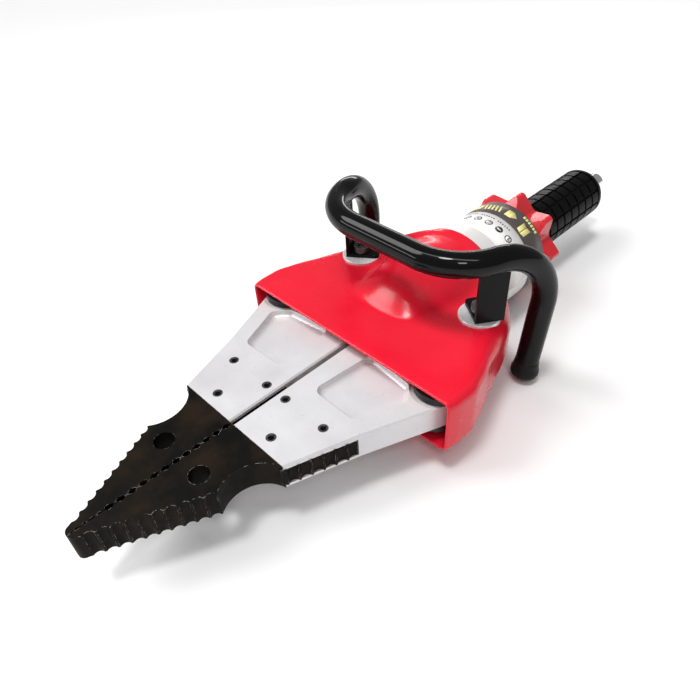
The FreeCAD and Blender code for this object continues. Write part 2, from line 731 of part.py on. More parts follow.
# --------------------------------- handle -----------------------------------
def bar_path():
    """Half of the handle centre line, from the middle to the leg end."""
    start = V(0, BAR_Y, BAR_Z)
    bend_start = V(BAR_HALF_STRAIGHT, BAR_Y, BAR_Z)
    centre = bend_start + V(0, BAR_BEND_RADIUS, 0)

    def on_bend(angle):
        return centre + V(BAR_BEND_RADIUS * math.sin(angle), -BAR_BEND_RADIUS * math.cos(angle), 0)

    heading = V(math.cos(BAR_BEND_ANGLE), math.sin(BAR_BEND_ANGLE), 0)
    bend_end = on_bend(BAR_BEND_ANGLE)
    drop_centre = bend_end - V(0, 0, LEG_BEND_RADIUS)
    drop_angle = math.pi / 2 + LEG_LEAN

    def on_drop(angle):
        return drop_centre + (heading * math.sin(angle) + V(0, 0, math.cos(angle))) * LEG_BEND_RADIUS

    drop_end = on_drop(drop_angle)
    down = heading * math.cos(drop_angle) - V(0, 0, math.sin(drop_angle))
    leg_end = drop_end + down * ((LEG_END_Z - drop_end.z) / down.z)
    return [
        Part.makeLine(start, bend_start),
        Part.Arc(bend_start, on_bend(BAR_BEND_ANGLE / 2), bend_end).toShape(),
        Part.Arc(bend_end, on_drop(drop_angle / 2), drop_end).toShape(),
        Part.makeLine(drop_end, leg_end),
    ], leg_end, down


def swept_bar(radius):
    """Half of the handle as a solid round bar of the given radius."""
    edges = bar_path()[0]
    profile = Part.Wire([Part.makeCircle(radius, V(0, BAR_Y, BAR_Z), V(1, 0, 0))])
    return Part.Wire(edges).makePipeShell([profile], True, False)


half_bar = swept_bar(TUBE_R)
whole_bar = half_bar.fuse(mirrored(half_bar)).removeSplitter()
half_core = swept_bar(TUBE_R - TUBE_WALL)
hollow = half_core.fuse(mirrored(half_core))
parts["handle_tube"] = whole_bar.cut(hollow)

_, leg, leg_down = bar_path()
plug_head = Part.makeCylinder(PLUG_RADIUS, PLUG_HEIGHT, leg, leg_down)
rim = [e for e in plug_head.Edges if e.BoundBox.ZMax < LEG_END_Z - PLUG_HEIGHT / 2]
plug_head = plug_head.makeFillet(PLUG_ROUND, rim)
plug_stem = Part.makeCylinder(TUBE_R - TUBE_WALL, PLUG_STEM, leg, leg_down * -1)
parts["end_plugs"] = both_sides(plug_head.fuse(plug_stem))


def make_bracket():
    """Right bracket: foot on the boss and a plate up to the tube."""
    ux, uy = BRACKET_DIRECTION
    along = V(ux, uy, 0).normalize()
    inwards = V(-along.y, along.x, 0)
    start = V(BRACKET_CORNER[0], BRACKET_CORNER[1], 0)

    def corner(a, b):
        spot = start + along * a + inwards * b
        return (spot.x, spot.y)

    foot_points = [corner(0, 0), corner(BRACKET_LENGTH, 0), corner(BRACKET_LENGTH, FOOT_WIDTH),
                   corner(0, FOOT_WIDTH)]
    foot = slab(rounded_outline(foot_points, [0, 0, FOOT_ROUND, FOOT_ROUND]), BOSS_TOP_Z, BOSS_TOP_Z + PLATE)
    wall_points = [corner(0, 0), corner(BRACKET_LENGTH, 0), corner(BRACKET_LENGTH, PLATE),
                   corner(0, PLATE)]
    wall = slab(rounded_outline(wall_points, 0), BOSS_TOP_Z, BAR_Z)
    bracket = foot.fuse(wall).cut(half_bar)
    bracket = bracket.cut(post(BOSS_X, BOSS_Y, BOLT_RADIUS, BOSS_TOP_Z - 1, BOSS_TOP_Z + PLATE + 1))
    solids = sorted(bracket.Solids, key=lambda s: s.Volume)
    return solids[-1].removeSplitter()


for side in SIDES:
    parts[side + "_bracket"] = handed(make_bracket(), side)

# ------------------------------ star and grip -------------------------------
def star_rib():
    """Rib along the first lobe, down the coned back of the star."""
    tip = STAR_TIP_RADIUS - 2
    outline = [
        V(STAR_RIB_FOOT, STAR_HUB_Y - STAR_RIB_DEPTH, 0),
        V(tip, STAR_RIM_Y - STAR_RIB_DEPTH, 0),
        V(tip, STAR_RIM_Y + STAR_RIB_PROUD, 0),
        V(STAR_RIB_FOOT, STAR_REAR_Y, 0),
    ]
    rib = Part.Face(Part.makePolygon(outline + outline[:1])).extrude(V(0, 0, STAR_RIB))
    rib.translate(V(0, 0, -STAR_RIB / 2))
    return rib


def make_star():
    """Control ring: a lobed wheel with a coned back and a rib on each lobe."""
    sharp_tip = STAR_TIP_RADIUS + 3.5
    points = []
    for i in range(2 * STAR_LOBES):
        angle = math.pi * i / STAR_LOBES
        radius = sharp_tip if i % 2 == 0 else STAR_VALLEY_RADIUS
        points.append((radius * math.cos(angle), radius * math.sin(angle)))
    prism = slab(rounded_outline(points, STAR_CORNERS * STAR_LOBES), 0, STAR_REAR_Y - STAR_FRONT_Y)
    prism.rotate(V(0, 0, 0), V(1, 0, 0), -90)
    prism.translate(V(0, STAR_FRONT_Y, 0))
    bore = HUB_RADIUS + FREE_GAP
    wheel = turned([
        (bore, STAR_FRONT_Y),
        (STAR_FRONT_RADIUS, STAR_FRONT_Y),
        (sharp_tip, STAR_FLARE_Y),
        (sharp_tip, STAR_RIM_Y),
        (STAR_NECK_RADIUS, STAR_HUB_Y),
        (STAR_NECK_RADIUS, STAR_REAR_Y),
        (bore, STAR_REAR_Y),
    ])
    star = prism.common(wheel)
    for i in range(STAR_LOBES):
        rib = star_rib()
        rib.rotate(V(0, 0, 0), V(0, 1, 0), 360 * i / STAR_LOBES)
        star = star.fuse(rib)
    return star.removeSplitter()


parts["star_ring"] = make_star()

def make_coupler():
    """Turned end of the hose coupling with a locking groove."""
    collar = COUPLER_RADIUS + 1
    groove = COUPLER_RADIUS - COUPLER_GROOVE
    return turned([
        (0, coupler_front),
        (collar, coupler_front),
        (collar, GRIP_END_Y + 6),
        (COUPLER_RADIUS, GRIP_END_Y + 8),
        (COUPLER_RADIUS, GRIP_END_Y + 17),
        (groove, GRIP_END_Y + 17 + COUPLER_GROOVE),
        (groove, GRIP_END_Y + 23 - COUPLER_GROOVE),
        (COUPLER_RADIUS, GRIP_END_Y + 23),
        (COUPLER_RADIUS, COUPLER_END_Y - 2),
        (COUPLER_RADIUS - 2, COUPLER_END_Y),
        (POPPET_WELL_RADIUS, COUPLER_END_Y),
        (POPPET_WELL_RADIUS, poppet_front),
        (0, poppet_front),
    ])


def grip_profile():
    """Half section of the rubber sleeve: ribs in rows, round end, hub seat."""
    seat = HUB_RADIUS + FREE_GAP
    floor = GRIP_RADIUS - GRIP_GROOVE
    slope = 0.6
    points = [(seat, GRIP_START_Y), (GRIP_RADIUS, GRIP_START_Y)]
    for i in range(GRIP_ROWS):
        y = GRIP_START_Y + (ribs_rear - GRIP_START_Y) * (i + 1) / GRIP_ROWS
        points.append((GRIP_RADIUS, y - GRIP_GROOVE_WIDTH))
        points.append((floor, y - GRIP_GROOVE_WIDTH + slope))
        points.append((floor, y - slope))
        points.append((GRIP_RADIUS, y))
    points += [
        (GRIP_RADIUS, GRIP_END_Y - 8),
        (GRIP_RADIUS - 2.5, GRIP_END_Y - 3),
        (GRIP_RADIUS - 7, GRIP_END_Y),
        (COUPLER_RADIUS + 1, GRIP_END_Y),
        (COUPLER_RADIUS + 1, core_rear),
        (GRIP_CORE_RADIUS, core_rear),
        (GRIP_CORE_RADIUS, hub_rear),
        (seat, hub_rear),
    ]
    return points


def make_grip():
    """Rubber sleeve cut into blocks by rings and lengthwise grooves."""
    grip = turned(grip_profile())
    half = GRIP_GROOVE_WIDTH / 2
    for i in range(GRIP_RIBS):
        groove = box(-half, half, GRIP_START_Y + 2, ribs_rear, GRIP_RADIUS - GRIP_GROOVE, GRIP_RADIUS + 2)
        groove.rotate(V(0, 0, 0), V(0, 1, 0), 360 * i / GRIP_RIBS)
        grip = grip.cut(groove)
    return grip


ribs_rear = GRIP_END_Y - GRIP_PLAIN_END
core_rear = GRIP_END_Y - GRIP_END_WALL
coupler_front = GRIP_END_Y - COUPLER_ROOT
poppet_front = COUPLER_END_Y - POPPET_WELL_DEPTH
coupler = make_coupler()
parts["coupler_body"] = coupler
parts["coupler_poppet"] = drum(POPPET_RADIUS, poppet_front, COUPLER_END_Y - 2)
parts["rubber_grip"] = make_grip().cut(coupler)
parts["grip_core"] = ring(GRIP_CORE_RADIUS, FEED_RADIUS, hub_rear, core_rear).cut(coupler)
parts["feed_tube"] = ring(FEED_RADIUS, OIL_WAY_RADIUS, feed_front, coupler_front)

# -------------------------------- write out ---------------------------------
to_base = V(0, -(NOSE_Y + COUPLER_END_Y) / 2, NECK_RADIUS)
os.makedirs("parts", exist_ok=True)
for name, shape in parts.items():
    placed = shape.copy()
    placed.translate(to_base)
    placed.exportStep("parts/" + name + ".step")
    bounds = placed.BoundBox
    extents = (bounds.XLength, bounds.YLength, bounds.ZLength)
    print(name, placed.isValid(), len(placed.Solids), round(placed.Volume), [round(v, 1) for v in extents])
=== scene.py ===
import json
import math
import bpy
import bmesh
from mathutils import Matrix, Vector


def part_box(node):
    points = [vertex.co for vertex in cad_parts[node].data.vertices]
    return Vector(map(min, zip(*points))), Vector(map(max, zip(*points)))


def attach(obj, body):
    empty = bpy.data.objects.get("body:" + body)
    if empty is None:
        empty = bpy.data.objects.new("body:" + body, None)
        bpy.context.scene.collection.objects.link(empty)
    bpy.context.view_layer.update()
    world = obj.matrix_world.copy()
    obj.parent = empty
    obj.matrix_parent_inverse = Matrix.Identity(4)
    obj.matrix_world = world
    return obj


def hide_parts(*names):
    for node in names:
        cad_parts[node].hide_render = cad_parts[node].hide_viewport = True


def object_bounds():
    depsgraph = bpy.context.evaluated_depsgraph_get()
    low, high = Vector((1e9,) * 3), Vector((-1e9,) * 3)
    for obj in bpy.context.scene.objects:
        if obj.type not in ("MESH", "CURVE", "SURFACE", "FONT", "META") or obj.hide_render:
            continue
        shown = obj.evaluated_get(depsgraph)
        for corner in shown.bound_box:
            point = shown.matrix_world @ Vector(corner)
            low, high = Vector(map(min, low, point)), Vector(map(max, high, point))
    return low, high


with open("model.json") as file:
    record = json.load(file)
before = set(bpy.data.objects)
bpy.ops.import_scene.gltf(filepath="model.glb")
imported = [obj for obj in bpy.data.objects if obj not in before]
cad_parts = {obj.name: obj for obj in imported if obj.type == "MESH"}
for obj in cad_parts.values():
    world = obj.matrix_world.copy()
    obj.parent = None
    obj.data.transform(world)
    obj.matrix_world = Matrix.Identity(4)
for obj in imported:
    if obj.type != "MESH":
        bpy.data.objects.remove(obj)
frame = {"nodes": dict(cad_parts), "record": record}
cad_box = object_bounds()

# ---------------------------------------------------------------------------
# Driving sizes. Lengths here are in millimetres, measured from the point on
# the cylinder axis where the arms meet the tips, and become metres in at().
# ---------------------------------------------------------------------------
MM = 0.001
NOSE_TO_DATUM = 155.0
AXIS_HEIGHT = sum(corner[2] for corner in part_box("rubber_grip")) / 2
DATUM_Y = cad_box[0][1] + NOSE_TO_DATUM * MM

# camera: place in metres, direction angles in degrees
CAMERA_PLACE = Vector((0.3471, -0.4088, 0.4847))
CAMERA_AZIMUTH = 47.66
CAMERA_ELEVATION = 41.72
CAMERA_ROLL = -3.57
CAMERA_LENS = 32.01
CAMERA_SENSOR = 36.0

# cover: station, half width, height above axis, depth below axis, corner
# radius, and the half width and height of the dome in the middle
COVER_WALL = 3.0
DOME_BLEND = 8.0
COVER_SECTIONS = [
    (133.3, 135.7, 29.0, 34.0, 7.0, 40.0, 0.0),
    (146.0, 138.8, 29.3, 34.0, 8.0, 42.0, 0.0),
    (165.0, 139.3, 29.6, 34.0, 9.0, 44.0, 6.0),
    (183.0, 134.8, 30.0, 34.5, 10.0, 48.0, 22.0),
    (197.0, 130.4, 30.2, 34.8, 11.0, 54.0, 38.0),
    (212.0, 124.5, 30.6, 35.5, 13.0, 58.0, 48.0),
    (235.0, 117.5, 31.5, 37.0, 17.0, 61.0, 56.0),
    (258.0, 110.0, 32.2, 40.0, 22.0, 62.5, 60.0),
    (280.0, 100.0, 34.3, 45.0, 30.0, 63.0, 61.0),
    (298.0, 85.0, 48.0, 50.0, 44.0, 63.0, 59.0),
    (308.0, 70.0, 59.0, 59.0, 57.0, 63.0, 50.0),
    (315.0, 63.0, 63.0, 63.0, 63.0, 63.0, 0.0),
]
COVER_RINGS = 84
LIP_STEPS = 6
NECK_CURL = 4.5
# side, corner and top of a quarter outline: share of the whole outline at
# which each ends, and its number of points
QUARTER_STEPS = [(0.025, 4), (0.085, 22), (0.25, 40)]
CORNER_STEPS = 30
OUTLINE_STEP = 0.8

# carrying handle: radii, angles and places of its centre line
TUBE_R = 12.5
BAR_Y = 199.0
BAR_Z = 107.0
BAR_HALF_STRAIGHT = 40.0
BAR_BEND_RADIUS = 61.0
BAR_BEND_ANGLE = math.radians(70.0)
LEG_BEND_RADIUS = 65.0
LEG_LEAN = math.radians(4.5)
LEG_END_Z = -48.5
STRAIGHT_STEPS = 8
BEND_STEPS = 28
DROP_STEPS = 36
LEG_STEPS = 10
BAR_SIDES = 56

# rubber plug on a leg: distance past the leg's end, and radius over the tube's
PLUG_HEIGHT = 8.0
PLUG_SIDES = 48
PLUG_END_GAP = 0.05
PLUG_PROFILE = [
    (-12.0, -0.2),
    (-11.6, 0.3),
    (-8.0, 0.5),
    (-4.5, 1.0),
    (-1.8, 1.7),
    (0.0, 2.2),
    (1.5, 2.5),
    (5.0, 2.5),
    (6.8, 1.8),
    (7.7, 0.5),
    (PLUG_HEIGHT, -2.0),
    (PLUG_HEIGHT, -8.5),
]

# printed sleeve: places along the axis, and heights over the bare sleeve
SLEEVE_RADIUS = 55.7
LABEL_FRONT = 343.0
BAND_FRONT = 381.0
BAND_REAR = 410.9
LABEL_SIDES = (-75, 95)
MARK_ROOT = -0.3
BAND_ROOT = -0.6
BAND_ROUND = 0.08
BAND_SIDES = 120
MARK_CUT_DEGREES = 3.0
LABEL_LIFT = 0.08
MARK_LIFT = 0.16
MIDDLE_LIFT = 0.22
BAND_LIFT = 0.25
SIGN_LIFT = 0.28
YELLOW_LIFT = 0.38

# marks: degrees round the sleeve from the top, millimetres along it
ARROW_Y = 396.0
ARROW_HALF = 6.0
ARROW_LEAN = 4.0
STRIPES = 5
STRIPE_START = -20.0
STRIPE_PITCH = 5.0
STRIPE_WIDTH = 2.6
TICKS = 6
TICK_START = 27.5
TICK_PITCH = 4.2
TICK_Y = 407.0
ROUND_MARKS = 5
ROUND_MARK_START = -24.5
ROUND_MARK_PITCH = 15.3
ROUND_MARK_Y = 364.0
ROUND_MARK_RADIUS = 4.8
ROUND_MARK_INNER = 3.5
FILLED_MARK = 3
DASHES = 20
DASH_GROUP = 7
DASH_START = -34.0
DASH_PITCH = 3.3
DASH_Y = 374.5

# softened edges of the CAD's own nodes, in millimetres and degrees
WELD_REACH = 0.01
FLAT_ANGLE = 1.0
SHARP_ANGLE = 32
BEVEL_SEGMENTS = 3

# floor and world: floor size in metres, its drop under the tool in millimetres
FLOOR_SIZE = 30
FLOOR_DROP = 0.5
FLOOR_WHITE = 0.93
WORLD_STRENGTH = 0.28
STRIP_TARGET = (0, 0, 0.15)


def at(x, y, z):
    """A point given in millimetres from the datum, in the frame's metres."""
    return Vector((x * MM, y * MM + DATUM_Y, z * MM + AXIS_HEIGHT))


# ---------------------------------------------------------------------------
# Camera, which sees the tool from the front right and above
# ---------------------------------------------------------------------------
def make_camera():
    """Camera from its direction angles, looking at the tool."""
    azimuth = math.radians(CAMERA_AZIMUTH)
    elevation = math.radians(CAMERA_ELEVATION)
    roll = math.radians(CAMERA_ROLL)
    level = math.cos(elevation)
    back = Vector((math.sin(azimuth) * level, -math.cos(azimuth) * level, math.sin(elevation)))
    right = Vector((0, 0, 1)).cross(back).normalized()
    up = back.cross(right)
    side = right * math.cos(roll) + up * math.sin(roll)
    top = up * math.cos(roll) - right * math.sin(roll)
    data = bpy.data.cameras.new("camera")
    data.lens = CAMERA_LENS
    data.sensor_width = CAMERA_SENSOR
    camera = bpy.data.objects.new("camera", data)
    turn = Matrix((side, top, back)).transposed().to_4x4()
    camera.matrix_world = Matrix.Translation(CAMERA_PLACE) @ turn
    bpy.context.scene.collection.objects.link(camera)
    bpy.context.scene.camera = camera


make_camera()


# ---------------------------------------------------------------------------
# Material helpers
# ---------------------------------------------------------------------------
def new_material(name, colour, roughness, metallic=0.0, coat=0.0, coat_roughness=0.05, specular=0.5):
    """Material with the plain values of its shader set."""
    material = bpy.data.materials.new(name)
    material.use_nodes = True
    shader = material.node_tree.nodes["Principled BSDF"]
    shader.inputs["Base Color"].default_value = (*colour, 1)
    shader.inputs["Roughness"].default_value = roughness
    shader.inputs["Metallic"].default_value = metallic
    shader.inputs["Coat Weight"].default_value = coat
    shader.inputs["Coat Roughness"].default_value = coat_roughness
    shader.inputs["Specular IOR Level"].default_value = specular
    return material


def add_node(material, kind, **values):
    """Shader node, each value going to the input or the property of that name."""
    node = material.node_tree.nodes.new(kind)
    for key, value in values.items():
        if key in node.inputs:
            node.inputs[key].default_value = value
        else:
            setattr(node, key, value)
    return node


def join(material, out_socket, in_socket):
    material.node_tree.links.new(out_socket, in_socket)


def noise_node(material, scale, detail, roughness=0.5, stretch=(1, 1, 1)):
    """Noise in the object's own coordinates, from 0 to 1."""
    place = add_node(material, "ShaderNodeTexCoord")
    mapping = add_node(material, "ShaderNodeMapping")
    mapping.inputs["Scale"].default_value = stretch
    join(material, place.outputs["Object"], mapping.inputs["Vector"])
    texture = add_node(material, "ShaderNodeTexNoise", Scale=scale, Detail=detail, Roughness=roughness)
    join(material, mapping.outputs["Vector"], texture.inputs["Vector"])
    return texture.outputs["Fac"]


def ramp(material, factor, stops):
    """Colour looked up from (position, colour) stops."""
    node = add_node(material, "ShaderNodeValToRGB")
    elements = node.color_ramp.elements
    elements[0].position = stops[0][0]
    elements[0].color = stops[0][1]
    elements[1].position = stops[-1][0]
    elements[1].color = stops[-1][1]
    for position, colour in stops[1:-1]:
        element = elements.new(position)
        element.color = colour
    join(material, factor, node.inputs["Fac"])
    return node.outputs["Color"]


def grey(value):
    """Opaque grey colour."""
    return (value, value, value, 1)


def bump(material, height, strength, distance):
    """Surface bump, added to any bump that the material already has."""
    shader = material.node_tree.nodes["Principled BSDF"]
    node = add_node(material, "ShaderNodeBump", Strength=strength, Distance=distance)
    join(material, height, node.inputs["Height"])
    if shader.inputs["Normal"].is_linked:
        join(material, shader.inputs["Normal"].links[0].from_socket, node.inputs["Normal"])
    join(material, node.outputs["Normal"], shader.inputs["Normal"])


def set_roughness(material, factor, low, high):
    """Roughness that wanders between two values."""
    shader = material.node_tree.nodes["Principled BSDF"]
    varied = ramp(material, factor, [(0.3, grey(low)), (0.7, grey(high))])
    join(material, varied, shader.inputs["Roughness"])


def set_colour(material, colour):
    join(material, colour, material.node_tree.nodes["Principled BSDF"].inputs["Base Color"])


def mix(material, factor, first, second):
    """Blend of two colours, each a socket or a plain colour."""
    node = add_node(material, "ShaderNodeMix", data_type="RGBA")
    join(material, factor, node.inputs[0])
    for socket, value in ((node.inputs[6], first), (node.inputs[7], second)):
        if isinstance(value, tuple):
            socket.default_value = value
        else:
            join(material, value, socket)
    return node.outputs[2]


def product(material, first, second):
    node = add_node(material, "ShaderNodeMath", operation="MULTIPLY")
    join(material, first, node.inputs[0])
    join(material, second, node.inputs[1])
    return node.outputs[0]


def edge_mask(material, radius, low, high):
    """1 on sharp edges, 0 on flat faces."""
    rounded = add_node(material, "ShaderNodeBevel", samples=6)
    rounded.inputs["Radius"].default_value = radius
    plain = add_node(material, "ShaderNodeNewGeometry")
    dot = add_node(material, "ShaderNodeVectorMath", operation="DOT_PRODUCT")
    join(material, rounded.outputs["Normal"], dot.inputs[0])
    join(material, plain.outputs["Normal"], dot.inputs[1])
    return ramp(material, dot.outputs["Value"], [(low, grey(1)), (high, grey(0))])


def occlusion_shade_mask(material, distance, low, high):
    """1 in hollows and corners that nearby parts shade, from ambient occlusion, 0 on open faces; a mask
    for painted shade.
    """
    shade = add_node(material, "ShaderNodeAmbientOcclusion", samples=8, Distance=distance)
    return ramp(material, shade.outputs["AO"], [(low, grey(1)), (high, grey(0))])


# ---------------------------------------------------------------------------
# Materials
# ---------------------------------------------------------------------------
def red_paint():
    material = new_material("red_paint", (0.80, 0.010, 0.030), 0.3, coat=0.2, coat_roughness=0.15,
                            specular=0.25)
    cloud = noise_node(material, 9.0, 4.0)
    paint = ramp(material, cloud, [(0.3, (0.68, 0.007, 0.024, 1)), (0.7, (0.78, 0.012, 0.034, 1))])
    edges = edge_mask(material, 0.0012, 0.86, 0.97)
    patches = ramp(material, noise_node(material, 110.0, 5.0), [(0.52, grey(0)), (0.62, grey(0.55))])
    scuffs = product(material, edges, patches)
    set_colour(material, mix(material, scuffs, paint, (0.46, 0.02, 0.03, 1)))
    set_roughness(material, noise_node(material, 60.0, 5.0), 0.20, 0.30)
    bump(material, noise_node(material, 900.0, 2.0), 0.05, 0.0004)
    bump(material, noise_node(material, 35.0, 2.0), 0.06, 0.004)
    return material


def star_red():
    material = new_material("star_red", (0.66, 0.012, 0.02), 0.3, coat=0.3, coat_roughness=0.15)
    cloud = noise_node(material, 40.0, 4.0)
    paint = ramp(material, cloud, [(0.3, (0.58, 0.010, 0.018, 1)), (0.7, (0.70, 0.014, 0.026, 1))])
    set_colour(material, paint)
    set_roughness(material, noise_node(material, 90.0, 5.0), 0.26, 0.4)
    bump(material, noise_node(material, 700.0, 3.0), 0.1, 0.0004)
    return material


def satin_aluminium(name, colour, low, high, metallic):
    material = new_material(name, colour, low, metallic=metallic)
    set_roughness(material, noise_node(material, 45.0, 6.0), low, high)
    cloud = noise_node(material, 14.0, 4.0)
    darker = tuple(value * 0.93 for value in colour)
    set_colour(material, ramp(material, cloud, [(0.3, (*darker, 1)), (0.7, (*colour, 1))]))
    bump(material, noise_node(material, 1500.0, 3.0), 0.08, 0.0003)
    return material


def arm_silver():
    material = new_material("arm_silver", (0.72, 0.71, 0.73), 0.4, metallic=0.3)
    cloud = noise_node(material, 16.0, 5.0)
    base = ramp(material, cloud, [(0.3, (0.67, 0.655, 0.68, 1)), (0.7, (0.75, 0.745, 0.755, 1))])
    speck = ramp(material, noise_node(material, 260.0, 5.0, 0.7), [(0.60, grey(0)), (0.74, grey(0.45))])
    grimy = mix(material, speck, base, (0.42, 0.36, 0.33, 1))
    # painted shade: ambient occlusion darkens hollows, pocket corners and places next to other parts to
    # brown, in random patches; partly dirt, partly painted shade
    occluded_shade = occlusion_shade_mask(material, 0.007, 0.50, 0.86)
    patches = ramp(material, noise_node(material, 75.0, 5.0), [(0.32, grey(0.15)), (0.62, grey(0.85))])
    hollow_shade_and_dirt = product(material, occluded_shade, patches)
    set_colour(material, mix(material, hollow_shade_and_dirt, grimy, (0.34, 0.26, 0.22, 1)))
    set_roughness(material, noise_node(material, 45.0, 6.0), 0.33, 0.47)
    bump(material, noise_node(material, 700.0, 4.0), 0.10, 0.0004)
    bump(material, noise_node(material, 40.0, 2.0), 0.05, 0.002)
    return material


def tip_steel():
    material = new_material("tip_steel", (0.010, 0.009, 0.008), 0.42, specular=0.05)
    cloud = noise_node(material, 34.0, 6.0, 0.6)
    base = ramp(material, cloud, [(0.38, (0.005, 0.005, 0.0045, 1)), (0.64, (0.017, 0.011, 0.007, 1))])
    worn = edge_mask(material, 0.0006, 0.90, 0.97)
    patch = ramp(material, noise_node(material, 330.0, 3.0), [(0.50, grey(0)), (0.60, grey(0.65))])
    set_colour(material, mix(material, product(material, worn, patch), base, (0.72, 0.69, 0.65, 1)))
    set_roughness(material, noise_node(material, 70.0, 6.0), 0.36, 0.55)
    bump(material, noise_node(material, 600.0, 5.0), 0.22, 0.0005)
    return material


def dark_metal(name, colour, low, high):
    material = new_material(name, colour, low, metallic=0.7)
    set_roughness(material, noise_node(material, 120.0, 4.0), low, high)
    bump(material, noise_node(material, 900.0, 3.0), 0.15, 0.0003)
    return material


def gloss_black():
    material = new_material("gloss_black", (0.002, 0.002, 0.0022), 0.25, coat=0.42, coat_roughness=0.05,
                            specular=0.02)
    set_roughness(material, noise_node(material, 40.0, 5.0), 0.20, 0.34)
    bump(material, noise_node(material, 420.0, 3.0), 0.04, 0.0006)
    bump(material, noise_node(material, 60.0, 2.0), 0.05, 0.002)
    return material


def satin_black():
    material = new_material("satin_black", (0.003, 0.003, 0.0034), 0.35, coat=0.08, coat_roughness=0.2,
                            specular=0.1)
    set_roughness(material, noise_node(material, 80.0, 5.0), 0.3, 0.45)
    bump(material, noise_node(material, 700.0, 3.0), 0.1, 0.0004)
    return material


def rubber(name, colour, low, high, specular=0.35):
    material = new_material(name, colour, low, specular=specular)
    set_roughness(material, noise_node(material, 130.0, 4.0), low, high)
    bump(material, noise_node(material, 900.0, 4.0), 0.18, 0.0004)
    return material


def polished(name, colour, roughness):
    material = new_material(name, colour, roughness, metallic=1.0)
    set_roughness(material, noise_node(material, 60.0, 4.0), roughness * 0.8, roughness * 1.3)
    bump(material, noise_node(material, 500.0, 3.0, stretch=(1, 12, 1)), 0.05, 0.0002)
    return material


def bronze():
    material = new_material("bronze", (0.5, 0.32, 0.12), 0.35, metallic=1.0)
    set_roughness(material, noise_node(material, 90.0, 4.0), 0.3, 0.45)
    bump(material, noise_node(material, 900.0, 3.0), 0.1, 0.0003)
    return material


def printed(name, colour):
    material = new_material(name, colour, 0.35, specular=0.4)
    cloud = noise_node(material, 70.0, 4.0)
    darker = tuple(value * 0.88 for value in colour)
    set_colour(material, ramp(material, cloud, [(0.35, (*darker, 1)), (0.65, (*colour, 1))]))
    set_roughness(material, noise_node(material, 150.0, 4.0), 0.28, 0.42)
    bump(material, noise_node(material, 1200.0, 2.0), 0.05, 0.0002)
    return material


MATERIALS = {
    "cover_red": red_paint(),
    "star_red": star_red(),
    "arm_silver": arm_silver(),
    "tip_steel": tip_steel(),
    "steel": polished("machined_steel", (0.55, 0.55, 0.56), 0.3),
    "spring_steel": dark_metal("spring_steel", (0.10, 0.10, 0.11), 0.3, 0.45),
    "yoke_dark": dark_metal("yoke_dark", (0.03, 0.03, 0.035), 0.4, 0.55),
    "bronze": bronze(),
    "cylinder_silver": satin_aluminium("cylinder_silver", (0.74, 0.73, 0.72), 0.26, 0.38, 0.7),
    "label_film": satin_aluminium("label_film", (0.80, 0.79, 0.77), 0.3, 0.4, 0.2),
    "boss_silver": satin_aluminium("boss_silver", (0.86, 0.85, 0.86), 0.22, 0.34, 0.35),
    "handle_black": gloss_black(),
    "bracket_black": satin_black(),
    "plug_rubber": rubber("plug_rubber", (0.006, 0.006, 0.006), 0.38, 0.55, specular=0.2),
    "grip_rubber": rubber("grip_rubber", (0.003, 0.003, 0.0032), 0.24, 0.38, specular=0.07),
    "seal_rubber": rubber("seal_rubber", (0.02, 0.02, 0.02), 0.5, 0.65),
    "chrome": polished("chrome", (0.85, 0.85, 0.86), 0.12),
}
LABEL_WHITE = printed("label_white", (0.93, 0.92, 0.90))
BAND_GREY = printed("band_grey", (0.085, 0.070, 0.066))
MARK_YELLOW = printed("mark_yellow", (0.86, 0.78, 0.30))
MARK_DARK = printed("mark_dark", (0.04, 0.035, 0.035))


# ---------------------------------------------------------------------------
# Mesh helpers
# ---------------------------------------------------------------------------
def new_piece(name, verts, faces, material, body):
    """Smooth closed mesh that rides with a body."""
    mesh = bpy.data.meshes.new(name)
    mesh.from_pydata([tuple(v) for v in verts], [], faces)
    mesh.validate()
    shell = bmesh.new()
    shell.from_mesh(mesh)
    bmesh.ops.recalc_face_normals(shell, faces=shell.faces)
    shell.to_mesh(mesh)
    shell.free()
    for face in mesh.polygons:
        face.use_smooth = True
    piece = bpy.data.objects.new(name, mesh)
    bpy.context.scene.collection.objects.link(piece)
    mesh.materials.append(material)
    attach(piece, body)
    return piece


def ring_faces(ring_count, size, closed):
    """Quads between neighbouring rings of the same size."""
    faces = []
    last = ring_count if closed else ring_count - 1
    for i in range(last):
        here = i * size
        after = ((i + 1) % ring_count) * size
        for k in range(size):
            after_k = (k + 1) % size
            faces.append((here + k, here + after_k, after + after_k, after + k))
    return faces


def monotone_value(stations, values, y):
    """A smooth curve through the stations that never overshoots them."""
    count = len(stations)
    slopes = [(values[i + 1] - values[i]) / (stations[i + 1] - stations[i]) for i in range(count - 1)]
    tangents = [slopes[0]]
    for a, b in zip(slopes, slopes[1:]):
        tangents.append(0.0 if a * b <= 0 else 2 * a * b / (a + b))
    tangents.append(slopes[-1])
    i = 0
    while i < count - 2 and y > stations[i + 1]:
        i += 1
    span = stations[i + 1] - stations[i]
    t = (y - stations[i]) / span
    return ((2 * t ** 3 - 3 * t ** 2 + 1) * values[i] + (t ** 3 - 2 * t ** 2 + t) * span * tangents[i]
            + (3 * t ** 2 - 2 * t ** 3) * values[i + 1] + (t ** 3 - t ** 2) * span * tangents[i + 1])


# ---------------------------------------------------------------------------
# Red cover
# ---------------------------------------------------------------------------
def corner_box(wide, up, down, radius):
    """Points round a rounded rectangle, from the middle of its right side."""
    points = []
    for cx, cz, first in ((wide - radius, up - radius, 0), (radius - wide, up - radius, 90),
                          (radius - wide, radius - down, 180), (wide - radius, radius - down, 270)):
        for i in range(CORNER_STEPS + 1):
            angle = math.radians(first + i * 90 / CORNER_STEPS)
            points.append((cx + radius * math.cos(angle), cz + radius * math.sin(angle)))
    return [(wide, 0.0)] + points + [(wide, 0.0)]


